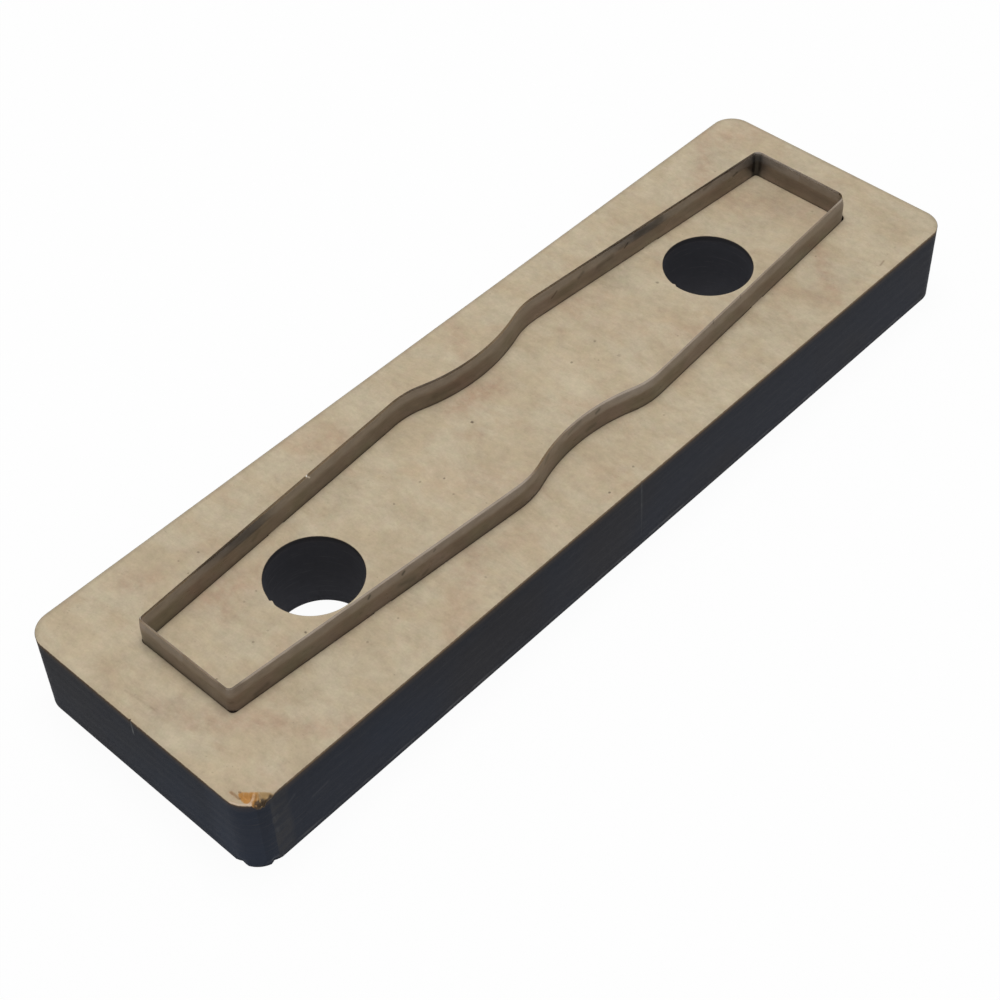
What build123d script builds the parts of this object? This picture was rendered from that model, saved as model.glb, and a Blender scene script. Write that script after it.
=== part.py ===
from build123d import *
import math
import os

os.makedirs("parts", exist_ok=True)

# A steel rule die: a plywood board with a bent strip of cutting rule standing in a kerf.
# Millimetres and degrees. X runs along the die, Y across it, Z up out of its cutting side.
# The origin is the middle of the board's underside.

# Cut shape, measured to the middle of the rule's thickness
loop_length = 170.8
shoulder_half_width = 16.1
shoulder_reach = 18.7
shoulder_radius = 18.0
waist_depth = 3.1
end_taper = 4.65

# Cutting rule, with the inside radius of each bent corner
rule_thickness = 1.07
edge_stand = 5.8
bevel_height = 1.15
edge_land = 0.05
near_bend_inside = 0.7
far_bend_inside = 0.9
right_bend_inside = 1.4
seam_gap = 0.08

# Nick in the cutting edge of the far long wall
nick_from_middle = 43.4
nick_width = 0.7
nick_depth = 0.35

# Plywood board around the cut shape
board_thickness = 18.0
end_margin = 12.85
side_margin = 12.65
corner_radius = 5.0

# Kerf for the rule
kerf_clearance = 0.02
kerf_mouth_width = 0.24
kerf_mouth_depth = 0.6

# Uncut bridges across the kerf, one near each end of each long wall
bridge_length = 4.0
bridge_inset = 32.6
notch_side_clearance = 0.3
notch_top_clearance = 0.15

# Finger holes, both a little nearer to one end
hole_radius = 9.25
hole_inset = 29.95
hole_shift = -0.4

# Damage at the near corner. Each point of an outline is a bearing round the middle of that
# corner's rounding, and how far inside the rounding it lies.
tear_depth = 0.7
tear_outline = (
    (173, 1.7),
    (194, 1.5),
    (224, 0.9),
    (238, 0.5),
    (240, -0.8),
    (283, -0.8),
    (281, 0.4),
    (279, 1.1),
    (256, 2.7),
    (220, 2.9),
)
edge_break_depth = 1.6
edge_break_outline = ((235, 0.0), (241, 0.45), (256, 0.7), (261, 0.25), (273, 0.0), (273, -0.8), (235, -0.8))
foot_chip_height = 1.6
foot_chip_bite = 0.45
foot_chip_bearings = ((174, 188, 205), (250, 259, 276))

# Sizes that follow from the ones above
rule_height = board_thickness + edge_stand
half_rule = rule_thickness / 2
wall_cutter = 4 * rule_thickness
half_loop = loop_length / 2
end_half_width = shoulder_half_width - end_taper
waist_radius = (shoulder_reach**2 + waist_depth**2) / (2 * waist_depth) - shoulder_radius
board_length = loop_length + 2 * end_margin
board_width = 2 * (shoulder_half_width + side_margin)
hole_x = half_loop - hole_inset
bridge_x = half_loop - bridge_inset
through_wall = (Align.CENTER, Align.CENTER, Align.MIN)

# Each long wall runs straight from the end corner to the point where it touches the shoulder bend
shoulder_centre = Vector(shoulder_reach, shoulder_half_width - shoulder_radius)
waist_centre = Vector(0, shoulder_half_width - waist_depth + waist_radius)
to_corner = Vector(half_loop, end_half_width) - shoulder_centre
to_shoulder = shoulder_centre - waist_centre
corner_bearing = math.degrees(math.atan2(to_corner.Y, to_corner.X))
touch_bearing = corner_bearing + math.degrees(math.acos(shoulder_radius / to_corner.length))
wall_slope = 90 - touch_bearing
waist_swing = 90 + math.degrees(math.atan2(to_shoulder.Y, to_shoulder.X))


def wall_half_width(x):
    """Half width of the middle line on the straight run of a long wall."""
    return end_half_width + (half_loop - x) * math.tan(math.radians(wall_slope))


def loop_face(reach, left_bend, near_bend, far_bend, right_bend):
    """The closed loop at a reach outside the middle line, with the radii of its four corners."""
    slope = math.radians(wall_slope)
    corner_x = half_loop + reach
    corner_y = end_half_width - reach * math.tan(slope) + reach / math.cos(slope)
    join_bearing = 90 + waist_swing
    shoulder_swing = touch_bearing - join_bearing
    with BuildSketch() as outline:
        with BuildLine():
            CenterArc(waist_centre, waist_radius - reach, -90, waist_swing)
            shoulder = CenterArc(shoulder_centre, shoulder_radius + reach, join_bearing, shoulder_swing)
            Line(shoulder @ 1, (corner_x, corner_y))
            Line((corner_x, corner_y), (corner_x, 0))
            mirror(about=Plane.XZ)
            mirror(about=Plane.YZ)
        make_face()
        corners = {(-1, 1): left_bend, (-1, -1): near_bend, (1, 1): far_bend, (1, -1): right_bend}
        for (side_x, side_y), radius in corners.items():
            if radius > 0:
                corner = Vector(side_x * corner_x, side_y * corner_y)
                fillet(outline.vertices().sort_by_distance(corner)[0], radius)
    return outline.sketch


def bent_loop(reach):
    """The loop with the strip's own bends, which keep their centres; the seam corner is square."""
    outward = reach + half_rule
    bends = (near_bend_inside + outward, far_bend_inside + outward, right_bend_inside + outward)
    return loop_face(reach, 0, *bends)


def bridge_places():
    """The middle of each bridge, turned to run along its wall."""
    places = []
    for side_x in (-1, 1):
        for side_y in (-1, 1):
            middle = (side_x * bridge_x, side_y * wall_half_width(bridge_x), 0)
            places.append(Location(middle, (0, 0, -side_x * side_y * wall_slope)))
    return places


def corner_points(outline):
    """Points at the board's near corner, from their bearings and insets."""
    points = []
    for bearing, inset in outline:
        angle = math.radians(bearing)
        from_middle = corner_radius - inset
        x = corner_radius - board_length / 2 + from_middle * math.cos(angle)
        y = corner_radius - board_width / 2 + from_middle * math.sin(angle)
        points.append((x, y))
    return points


# Cutting rule: one strip bent round the cut shape
with BuildPart() as cutting_rule:
    with BuildSketch():
        add(bent_loop(half_rule))
        add(bent_loop(-half_rule), mode=Mode.SUBTRACT)
    extrude(amount=rule_height)

    # Both faces slope up to the cutting edge
    top = cutting_rule.faces().sort_by(Axis.Z)[-1]
    chamfer(top.edges(), length=half_rule - edge_land / 2, length2=bevel_height, reference=top)

    # Notches in the lower edge straddle the board's bridges
    with Locations(*bridge_places()):
        notch_length = bridge_length + 2 * notch_side_clearance
        notch_height = board_thickness + notch_top_clearance
        Box(notch_length, wall_cutter, notch_height, align=through_wall, mode=Mode.SUBTRACT)

    # The strip's ends meet in a mitre at the left corner
    with Locations(Location((-half_loop, end_half_width, 0), (0, 0, 135 + wall_slope / 2))):
        Box(wall_cutter, seam_gap, rule_height, align=through_wall, mode=Mode.SUBTRACT)

    # A small nick in the cutting edge
    with BuildSketch(Plane.XZ.offset(-wall_half_width(nick_from_middle))):
        with Locations((-nick_from_middle, rule_height)):
            Polygon((-nick_width / 2, 0), (0, -nick_depth), (nick_width / 2, 0), align=None)
    extrude(amount=rule_thickness, both=True, mode=Mode.SUBTRACT)

# Die board: one piece of plywood
with BuildPart() as die_board:
    with BuildSketch():
        RectangleRounded(board_length, board_width, corner_radius)
    extrude(amount=board_thickness)

    with BuildSketch():
        with Locations((hole_shift - hole_x, 0), (hole_shift + hole_x, 0)):
            Circle(hole_radius)
    extrude(amount=board_thickness, mode=Mode.SUBTRACT)

    # The kerf goes right through, but for the bridges. It is square outside the strip's bends,
    # which leaves a small open corner there.
    with BuildSketch():
        add(loop_face(half_rule + kerf_clearance, 0, 0, 0, 0))
        add(bent_loop(-half_rule - kerf_clearance), mode=Mode.SUBTRACT)
        with Locations(*bridge_places()):
            Rectangle(bridge_length, wall_cutter, mode=Mode.SUBTRACT)
    extrude(amount=board_thickness, mode=Mode.SUBTRACT)

    # The laser burned the mouth of the kerf a little wider than the rest
    face = die_board.faces().sort_by(Axis.Z)[-1]
    mouth = [edge for wire in face.inner_wires() if len(wire.edges()) > 1 for edge in wire.edges()]
    chamfer(mouth, length=kerf_mouth_width, length2=kerf_mouth_depth, reference=face)

    # The face ply is torn off at the near corner, and the edge there is broken deeper
    for outline, depth in ((tear_outline, tear_depth), (edge_break_outline, edge_break_depth)):
        with BuildSketch(Plane.XY.offset(board_thickness)):
            Polygon(*corner_points(outline), align=None)
        extrude(amount=-depth, mode=Mode.SUBTRACT)

    # Two chips are out of the foot of the same corner
    for start, middle, end in foot_chip_bearings:
        bite = foot_chip_bite
        chip = ((start, 0), (middle, bite), (end, 0), (end, -bite), (start, -bite))
        with BuildSketch():
            Polygon(*corner_points(chip), align=None)
        extrude(amount=foot_chip_height, mode=Mode.SUBTRACT)

die_board.part.label = "die_board"
export_step(die_board.part, "parts/die_board.step")
print("die_board", die_board.part.volume, die_board.part.bounding_box().size)

cutting_rule.part.label = "cutting_rule"
export_step(cutting_rule.part, "parts/cutting_rule.step")
print("cutting_rule", cutting_rule.part.volume, cutting_rule.part.bounding_box().size)
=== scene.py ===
import functools
import math

import bmesh
import bpy
import numpy as np
from mathutils import Matrix, Vector, noise
from mathutils.geometry import delaunay_2d_cdt


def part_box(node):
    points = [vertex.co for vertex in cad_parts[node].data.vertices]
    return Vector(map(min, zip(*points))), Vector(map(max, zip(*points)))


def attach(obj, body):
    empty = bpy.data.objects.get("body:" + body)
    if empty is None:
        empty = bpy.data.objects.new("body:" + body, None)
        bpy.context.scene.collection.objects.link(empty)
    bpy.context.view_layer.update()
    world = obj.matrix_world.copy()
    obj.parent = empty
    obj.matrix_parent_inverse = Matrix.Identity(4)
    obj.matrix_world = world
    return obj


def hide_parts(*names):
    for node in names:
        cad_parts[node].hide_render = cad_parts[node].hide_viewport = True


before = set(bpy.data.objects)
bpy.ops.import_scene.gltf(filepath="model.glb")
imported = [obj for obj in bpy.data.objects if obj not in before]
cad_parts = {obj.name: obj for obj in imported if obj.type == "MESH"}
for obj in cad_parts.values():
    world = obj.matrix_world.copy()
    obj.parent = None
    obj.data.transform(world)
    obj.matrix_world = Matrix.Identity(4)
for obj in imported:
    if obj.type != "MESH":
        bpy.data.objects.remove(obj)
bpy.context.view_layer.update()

# Sizes are in millimetres and bearings in degrees, until a mesh is made of them.
mm = 0.001
tiny = 1e-6

boardLow, boardHigh = (Vector(corner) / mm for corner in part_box("die_board"))
ruleLow, ruleHigh = (Vector(corner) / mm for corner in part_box("cutting_rule"))
boardSize = tuple(round(size, 2) for size in boardHigh - boardLow)
print("frame: board", boardSize, "mm, rule edge at", round(ruleHigh.z, 2))


# Node trees

def operator(operation, reflected=False):
    # a method that adds one Math node
    def apply(self, other=0.0):
        first, second = (other, self) if reflected else (self, other)
        return self.math(operation, first, second)
    return apply


class Sock:
    # a node's output; arithmetic on it adds Math nodes
    def __init__(self, shade, out):
        self.shade = shade
        self.out = out

    def math(self, operation, first, second=0.0, clamp=False):
        settings = {"operation": operation, "use_clamp": clamp}
        return self.shade.node("ShaderNodeMath", settings, {0: first, 1: second})

    __add__, __radd__ = operator("ADD"), operator("ADD", True)
    __sub__, __rsub__ = operator("SUBTRACT"), operator("SUBTRACT", True)
    __mul__, __rmul__ = operator("MULTIPLY"), operator("MULTIPLY", True)
    __truediv__ = operator("DIVIDE")
    __abs__ = operator("ABSOLUTE")
    __gt__, __lt__ = operator("GREATER_THAN"), operator("LESS_THAN")
    atLeast = operator("MAXIMUM")

    def clamped(self):
        return self.math("ADD", self, 0.0, clamp=True)

    def rise(self, low, high):
        # 0 below low, 1 above high, smooth between; falls where high is the smaller
        values = {"Value": self, "From Min": min(low, high), "From Max": max(low, high)}
        if low > high:
            values.update({"To Min": 1.0, "To Max": 0.0})
        return self.shade.node("ShaderNodeMapRange", {"interpolation_type": "SMOOTHSTEP"}, values)


def strongest(marks):
    return functools.reduce(Sock.atLeast, marks)


class Shade:
    # one material's or the world's tree
    def __init__(self, owner):
        self.owner = owner
        owner.use_nodes = True
        self.tree = owner.node_tree
        self.tree.nodes.clear()

    def node(self, kind, settings=None, values=None, out=0):
        made = self.tree.nodes.new(kind)
        for key, value in (settings or {}).items():
            setattr(made, key, value)
        for key, value in (values or {}).items():
            if isinstance(value, Sock):
                self.tree.links.new(value.out, made.inputs[key])
            else:
                made.inputs[key].default_value = value
        return Sock(self, made.outputs[out]) if len(made.outputs) else None

    def place(self):
        # where the point is, in millimetres
        coordinate = self.node("ShaderNodeTexCoord", out="Object")
        return self.vector("SCALE", coordinate, scale=1 / mm)

    def vector(self, operation, first, second=None, scale=None, out=0):
        inputs = ((0, first), (1, second), ("Scale", scale))
        values = {key: value for key, value in inputs if value is not None}
        return self.node("ShaderNodeVectorMath", {"operation": operation}, values, out)

    def distance(self, first, second):
        return self.vector("DISTANCE", first, second, out="Value")

    def split(self, vector):
        return [self.node("ShaderNodeSeparateXYZ", None, {0: vector}, axis) for axis in range(3)]

    def join(self, x, y, z=0.0):
        return self.node("ShaderNodeCombineXYZ", None, {0: x, 1: y, 2: z})

    def cloud(self, vector, size, detail=2.0, roughness=0.5, stretch=(1, 1, 1), shift=None):
        # noise about 0.5 whose lumps are about size across, times the stretch
        if shift:
            vector = self.vector("ADD", vector, shift)
        scaled = self.vector("MULTIPLY", vector, tuple(1 / (size * axis) for axis in stretch))
        values = {"Vector": scaled, "Scale": 1.0, "Detail": detail, "Roughness": roughness}
        return self.node("ShaderNodeTexNoise", {"noise_dimensions": "3D"}, values)

    def mix(self, factor, first, second, blend="MIX"):
        settings = {"data_type": "RGBA", "blend_type": blend}
        return self.node("ShaderNodeMix", settings, {0: factor, 6: first, 7: second}, 2)

    def coats(self, colour, palette, *coats):
        # lays coats over a colour, each a mask and a name in the palette
        for mask, name in coats:
            colour = self.mix(mask, colour, palette[name])
        return colour

    def mark(self, name):
        return self.node("ShaderNodeAttribute", {"attribute_name": name}, None, "Fac")

    def stroke(self, flat, start, end, width, soft):
        # 1 along a straight brush stroke, fading to 0 at its edge
        along = Vector((*end, 0)) - Vector((*start, 0))
        offset = self.vector("SUBTRACT", flat, (*start, 0))
        share = self.vector("DOT_PRODUCT", offset, tuple(along / along.length_squared), out="Value").clamped()
        nearest = self.vector("SCALE", tuple(along), scale=share)
        return self.distance(offset, nearest).rise(width / 2 + soft, width / 2 - soft)

    def finish(self, shader):
        self.node("ShaderNodeOutputMaterial", None, {"Surface": shader})
        return self.owner


def srgb(red, green, blue):
    def linear(level):
        share = level / 255
        return share / 12.92 if share <= 0.04045 else ((share + 0.055) / 1.055) ** 2.4
    return (linear(red), linear(green), linear(blue), 1.0)


# Meshes

class Draft:
    # points and faces of one piece, with its burns and tears marked on the points
    def __init__(self, name):
        self.name = name
        self.points = []
        self.faces = []
        self.finishes = []
        self.marks = {"scorch": [], "torn": [], "tone": []}

    def point(self, x, y, z, **marks):
        self.points.append((x, y, z))
        for key, values in self.marks.items():
            values.append(marks.get(key, 0.0))
        return len(self.points) - 1

    def face(self, corners, finish=0):
        corners = [corner for spot, corner in enumerate(corners) if corner != corners[spot - 1]]
        if len(corners) > 2:
            self.faces.append(corners)
            self.finishes.append(finish)

    def band(self, lower, upper, finish=0, closed=True):
        # four-sided faces between two rows of the same length
        count = len(lower)
        for spot in range(count if closed else count - 1):
            after = (spot + 1) % count
            self.face((lower[spot], lower[after], upper[after], upper[spot]), finish)

    def bands(self, rows, finish=0, closed=True):
        for lower, upper in zip(rows, rows[1:]):
            self.band(lower, upper, finish, closed)

    def flat(self, outline, gaps, z):
        # a flat face inside the outline and outside the gaps, all given as rows of points
        loops = [outline] + gaps
        flatLoops = [[Vector(self.points[spot][:2]) for spot in loop] for loop in loops]
        corners = sum(flatLoops, [])
        owners = sum(loops, [])
        edges = []
        for loop in flatLoops:
            first = len(edges)
            edges += [(first + step, first + (step + 1) % len(loop)) for step in range(len(loop))]
        for x, y in insidePoints(flatLoops, board["faceSpacing"]):
            corners.append(Vector((x, y)))
            owners.append(self.point(x, y, z))
        _, _, triangles, sources, _, _ = delaunay_2d_cdt(corners, edges, [], 0, tiny)
        triangles = [[sources[corner][0] for corner in triangle] for triangle in triangles]
        middles = [sum((corners[spot] for spot in triangle), Vector((0, 0))) / 3 for triangle in triangles]
        for triangle, inside in zip(triangles, insideLoops(np.array(middles), flatLoops)[0]):
            if inside:
                self.face([owners[corner] for corner in triangle])

    def make(self, materials, sharpAngle):
        mesh = bpy.data.meshes.new(self.name)
        mesh.from_pydata([tuple(value * mm for value in point) for point in self.points], [], self.faces)
        mesh.polygons.foreach_set("material_index", self.finishes)
        for key, values in self.marks.items():
            if any(values):
                mesh.attributes.new(key, "FLOAT", "POINT").data.foreach_set("value", values)
        for material in materials:
            mesh.materials.append(material)
        faceOutwards(mesh)
        mesh.polygons.foreach_set("use_smooth", [True] * len(mesh.polygons))
        mesh.set_sharp_from_angle(angle=math.radians(sharpAngle))
        print("made", self.name, "with", len(mesh.polygons), "faces")
        return placed(self.name, mesh)


def placed(name, data):
    made = bpy.data.objects.new(name, data)
    bpy.context.scene.collection.objects.link(made)
    return made


def faceOutwards(mesh):
    whole = bmesh.new()
    whole.from_mesh(mesh)
    bmesh.ops.recalc_face_normals(whole, faces=whole.faces)
    if whole.calc_volume(signed=True) < 0:
        bmesh.ops.reverse_faces(whole, faces=whole.faces)
    loose = [vert for vert in whole.verts if not vert.link_faces]
    bmesh.ops.delete(whole, geom=loose, context="VERTS")
    whole.to_mesh(mesh)
    whole.free()


def insideLoops(places, loops):
    # whether each place is inside the first loop and outside the others, and its distance from their corners
    inside = np.zeros(len(places), bool)
    clear = np.full(len(places), np.inf)
    for loop in loops:
        starts = np.array([tuple(corner) for corner in loop])
        for (x0, y0), (x1, y1) in zip(starts, np.roll(starts, -1, axis=0)):
            clear = np.minimum(clear, np.hypot(places[:, 0] - x0, places[:, 1] - y0))
            if y1 != y0:
                crossed = (y0 > places[:, 1]) != (y1 > places[:, 1])
                inside ^= crossed & (places[:, 0] < x0 + (places[:, 1] - y0) * (x1 - x0) / (y1 - y0))
    return inside, clear


def insidePoints(loops, spacing):
    # a grid of points inside the first loop, outside the others and clear of them all
    low = np.min([tuple(corner) for corner in loops[0]], axis=0)
    high = np.max([tuple(corner) for corner in loops[0]], axis=0)
    xs = np.arange(low[0] + spacing / 2, high[0], spacing)
    ys = np.arange(low[1] + spacing / 2, high[1], spacing)
    grid = np.array([(x, y) for x in xs for y in ys])
    inside, clear = insideLoops(grid, loops)
    return grid[inside & (clear > spacing * 0.6)].tolist()


def jitter(x, y, z, size):
    # smooth noise from about -1 to 1 whose lumps are about size across
    return noise.noise(Vector((x, y, z)) / size)


def smooth(value, low, high):
    share = min(max((value - low) / (high - low), 0.0), 1.0)
    return share * share * (3 - 2 * share)


def follow(table, at):
    # the value there, on straight lines between the table's entries
    return float(np.interp(at, *zip(*table)))


# The cut line that the rule follows

cutLine = {
    "ruleThickness": 1.07,
    "shoulderReach": 18.7,
    "shoulderRadius": 18.0,
    "waistDepth": 3.1,
    "endTaper": 4.65,
    "ruleBends": {"left": None, "far": 0.9, "right": 1.4, "near": 0.35},
    "kerfBends": {"left": 0.1, "far": 0.1, "right": 0.4, "near": -0.15},
    "bridgeInset": 32.6,
    "bridgeLength": 4.0,
    "notchClearance": 0.3,
    "nickFromMiddle": 43.4,
    "nickWidth": 0.7,
    "stopClear": 0.3,
    "runStep": 1.2,
    "arcStep": 0.7,
    "bendTurn": 7.5,
}


def bearing(degrees):
    return Vector((math.cos(math.radians(degrees)), math.sin(math.radians(degrees))))


def turnOf(way):
    return math.degrees(math.atan2(way.y, way.x))


halfRule = cutLine["ruleThickness"] / 2
halfLoop = ruleHigh.x - halfRule
shoulderHalf = ruleHigh.y - halfRule
endHalf = shoulderHalf - cutLine["endTaper"]
shoulderReach, shoulderRadius = cutLine["shoulderReach"], cutLine["shoulderRadius"]
waistDepth = cutLine["waistDepth"]
waistRadius = (shoulderReach ** 2 + waistDepth ** 2) / (2 * waistDepth) - shoulderRadius
shoulderCentre = Vector((shoulderReach, shoulderHalf - shoulderRadius))
waistCentre = Vector((0, shoulderHalf - waistDepth + waistRadius))
toCorner = Vector((halfLoop, endHalf)) - shoulderCentre
toShoulder = shoulderCentre - waistCentre
touchBearing = turnOf(toCorner) + math.degrees(math.acos(shoulderRadius / toCorner.length))
wallSlope = math.radians(90 - touchBearing)
waistSwing = 90 + turnOf(toShoulder)
bridgeX = halfLoop - cutLine["bridgeInset"]


def wallHalf(x):
    # half width of the cut line on a long wall's straight run
    return endHalf + (halfLoop - x) * math.tan(wallSlope)


def arcStations(centre, radius, start, swing, step, outward=1):
    count = max(2, math.ceil(abs(math.radians(swing)) * radius / step))
    outs = [bearing(start + swing * spot / count) for spot in range(count + 1)]
    return [(centre + radius * out, outward * out) for out in outs]


def wallStations(bend):
    # a quarter of the loop from the middle of the waist to the end wall; bend None leaves the corner square
    step = cutLine["arcStep"]
    stations = arcStations(waistCentre, waistRadius, -90, waistSwing, step, -1)
    start = 90 + waistSwing
    stations += arcStations(shoulderCentre, shoulderRadius, start, touchBearing - start, step)[1:]
    wallOut = bearing(touchBearing)
    startX = stations[-1][0].x
    corner = halfLoop if bend is None else halfLoop - bend - halfRule + (bend + halfRule) * wallOut.x
    halfBridge = cutLine["bridgeLength"] / 2
    halfNotch = halfBridge + cutLine["notchClearance"]
    stops = [bridgeX + side * reach * wallOut.y for side in (-1, 1) for reach in (halfBridge, halfNotch)]
    stops += [cutLine["nickFromMiddle"] + side * cutLine["nickWidth"] / 2 for side in (-1, 0, 1)]
    count = math.ceil((corner - startX) / cutLine["runStep"])
    evenly = [startX + (corner - startX) * spot / count for spot in range(1, count + 1)]
    room = cutLine["stopClear"]
    clear = [x for x in evenly if x == evenly[-1] or all(abs(x - stop) > room for stop in stops)]
    for x in sorted(clear + stops):
        stations.append((Vector((x, wallHalf(x))), wallOut))
    if bend is None:
        stations[-1] = (Vector((halfLoop, endHalf)), Vector((1, 1 / wallOut.y - math.tan(wallSlope))))
        return stations
    radius = bend + halfRule
    middle = Vector((halfLoop - radius, wallHalf(halfLoop - radius) - radius / wallOut.y))
    bendStep = radius * math.radians(cutLine["bendTurn"])
    return stations + arcStations(middle, radius, touchBearing, -touchBearing, bendStep)[1:]


def mirrored(stations, *sides):
    return [(point * Vector(sides), outward * Vector(sides)) for point, outward in stations]


def loopStations(kerf=False):
    # round the whole loop, clockwise from the left corner, along the rule or the kerf's outer side
    bends = cutLine["kerfBends" if kerf else "ruleBends"]
    left = mirrored(wallStations(bends["left"]), -1, 1)[::-1]
    far = wallStations(bends["far"])
    right = mirrored(wallStations(bends["right"]), 1, -1)[::-1]
    near = mirrored(wallStations(bends["near"]), -1, -1)
    return left + far[1:] + right + near[1:]


def shifted(station, reach):
    point, outward = station
    return point + reach * outward


# Plywood board

board = {
    "cornerRadius": 5.0,
    "plies": 13,
    "arris": 0.04,
    "scorchWidth": 0.09,
    "wallStep": 0.9,
    "fineStep": 0.11,
    "cornerTurn": 5.0,
    "plyRows": (0.06, 0.5, 0.94),
    "plyRecess": 0.012,
    "roughness": 0.016,
    "faceSpacing": 2.6,
    "stretchedTop": 4.0,
    "grooveSpan": 0.8,
    "sideReach": 0.5,
    "holeRadius": 9.25,
    "holeInset": 29.95,
    "holeShift": -0.4,
    "holeStations": 300,
    "pipFrom": 0.9,
    "pipTo": 0.5,
    "pipBurn": 2.2,
    "rimScorch": 0.3,
    "kerfClearance": 0.02,
    "mouthWidth": 0.035,
    "mouthDepth": 0.15,
    "mouthScorch": 0.35,
    "kerfScorch": 0.2,
    "sharpAngle": 50,
}

# where the beam started its way round the board and round each hole
beamStarts = {
    "longSide": {"at": -0.05, "width": 0.34, "depth": 0.06, "foot": 3.0, "lean": -0.045},
    "shortSide": {"at": 0.05, "width": 0.5, "depth": 0.25, "foot": 13.8, "lean": 0.03},
    "nearHole": ((164.0, 0.0), (169.0, 0.1), (170.6, 0.1), (171.8, -0.34), (174.0, -0.24), (178.5, 0.0)),
    "farHole": ((168.5, 0.0), (171.2, -0.32), (173.0, -0.2), (175.0, 0.0)),
}

# the near corner, in millimetres from the middle of its rounding
tornCorner = {
    "farthest": (8.0, 2.8, 1.5),
    "reach": 4.4,
    "depth": 3.8,
    "pocket": ((-2.4, -0.55), (-1.55, -1.6), (-0.64, -2.55), (0.12, -3.3), (0.93, -4.4), (1.35, -5.9),
               (-3.3, -5.9), (-3.05, -4.2), (-3.4, -3.3), (-3.4, -2.6), (-3.3, -1.5), (-2.9, -0.8)),
    "pocketStep": 0.05,
    "pocketDepth": 0.6,
    "pocketSlope": 1.1,
    "crown": ((226, 0.0), (233, 0.15), (237, 0.6), (240, 0.8), (250, 1.3), (258, 1.4), (263, 0.65),
              (270, 0.4), (277, 0.55), (282, 0.3), (287, 0.1), (292, 0.0)),
    "crownReach": 0.75,
    "fibreBearing": 43.0,
    "slivers": (
        ((-1.2, -2.75), (-3.1, -3.85), 1.15, 0.42, 0.85),
        ((-0.5, -3.35), (-1.15, -4.05), 0.32, 0.25, 0.6),
        ((-2.35, -4.05), (-2.05, -4.1), 0.26, 0.2, 0.36), ((-1.7, -4.55), (-1.4, -4.7), 0.24, 0.15, 0.32),
    ),
    "lip": (((-4.75, -0.9), (-4.15, -2.25)), ((-4.15, -2.25), (-3.15, -3.4))),
    "lipWidth": 0.62,
    "cracks": (
        ((-3.34, 0.42), (-3.24, -1.5), 0.5, 0.62), ((-2.42, -0.5), (-2.3, -0.75), 0.26, 0.7),
        ((-2.1, -3.75), (-0.75, -4.25), 0.9, 0.95), ((-0.9, -4.5), (0.45, -4.95), 0.34, 0.95),
        ((-2.6, -4.1), (-1.2, -4.75), 0.5, 0.95),
    ),
}
footChips = {"height": 1.6, "bite": 0.45, "bearings": ((174, 188, 205), (250, 259, 276))}

cornerMiddle = Vector((boardLow.x + board["cornerRadius"], boardLow.y + board["cornerRadius"]))
holeX = halfLoop - board["holeInset"]
rims = ((board["arris"], 0.85), (board["arris"] + board["scorchWidth"], 0.0))


def fromStroke(spot, start, end):
    # distance from a straight stroke, and the share of it passed by there
    run = Vector(end) - Vector(start)
    share = min(max((spot - Vector(start)).dot(run) / run.length_squared, 0.0), 1.0)
    return (spot - Vector(start) - share * run).length, share


def insideBy(point, outline):
    # how far inside a closed outline a point is; negative outside
    inside = False
    nearest = math.inf
    for spot, end in enumerate(outline):
        start = outline[spot - 1]
        nearest = min(nearest, fromStroke(point, start, end)[0])
        if (start[1] > point.y) != (end[1] > point.y):
            if point.x < start[0] + (point.y - start[1]) * (end[0] - start[0]) / (end[1] - start[1]):
                inside = not inside
    return nearest if inside else -nearest


def fibreWays(x, y):
    # a place measured along the torn fibres and across them
    fibre = bearing(tornCorner["fibreBearing"])
    return x * fibre.x + y * fibre.y, x * fibre.y - y * fibre.x


def cornerDamage(x, y):
    # depth of the torn veneer, how bare the wood is, and its tone from pale (-1) to dark (1)
    spot = Vector((x, y)) - cornerMiddle
    if any(here > most for here, most in zip((spot.length, *spot), tornCorner["farthest"])):
        return 0.0, 0.0, 0.0
    along, across = fibreWays(*spot)
    ragged = 0.06 * noise.noise(Vector((across * 3.0, along * 1.2, 3.1)))
    ridges = noise.noise(Vector((across * 3.0, along * 0.5, 8.7)))
    inside = insideBy(spot, tornCorner["pocket"]) + ragged
    bare = smooth(inside, -0.1, 0.16)
    depth = bare * tornCorner["pocketStep"]
    depth += smooth(inside, 0.0, tornCorner["pocketSlope"]) * (tornCorner["pocketDepth"] + 0.1 * ridges)
    crown = follow(tornCorner["crown"], turnOf(spot) % 360) * (1 + 0.25 * ridges)
    inset = board["cornerRadius"] - (spot.length if spot.x < 0 else -spot.y)
    if crown > 0 or bare > 0:
        depth += (crown - depth) * smooth(inset, tornCorner["crownReach"], 0.08)
    burnedReach = min(0.25 + 0.8 * crown, 0.85)
    burned = smooth(crown, 0.15, 0.5) * smooth(inset + ragged * 2, burnedReach, burnedReach * 0.45)
    bare = max(bare, burned)
    tone = burned
    for start, end in tornCorner["lip"]:
        away, _ = fromStroke(spot, start, end)
        near = smooth(away + ragged, tornCorner["lipWidth"] * 0.6, 0.05)
        bare = max(bare, 0.7 * near)
        tone += (-1.0 - tone) * near
    # painted shade: each crack is darkened as well as dug in a little
    for start, end, width, strength in tornCorner["cracks"]:
        away, _ = fromStroke(spot, start, end)
        near = smooth(away + ragged, width * 0.7, width * 0.25)
        tone += (1.0 - tone) * near * strength
        bare = max(bare, near * strength)
        depth += 0.1 * near
    for start, end, width, height, strength in tornCorner["slivers"]:
        away, share = fromStroke(spot, start, end)
        width *= 0.6 + 0.4 * share
        ridge = smooth(away + ragged * 0.5, width * 0.65, width * 0.1)
        depth = max(depth - height * ridge, 0.04 * bare)
        tone += (-1.0 - tone) * ridge * strength * (0.3 + 0.7 * share)
    return depth, bare, tone


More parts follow.
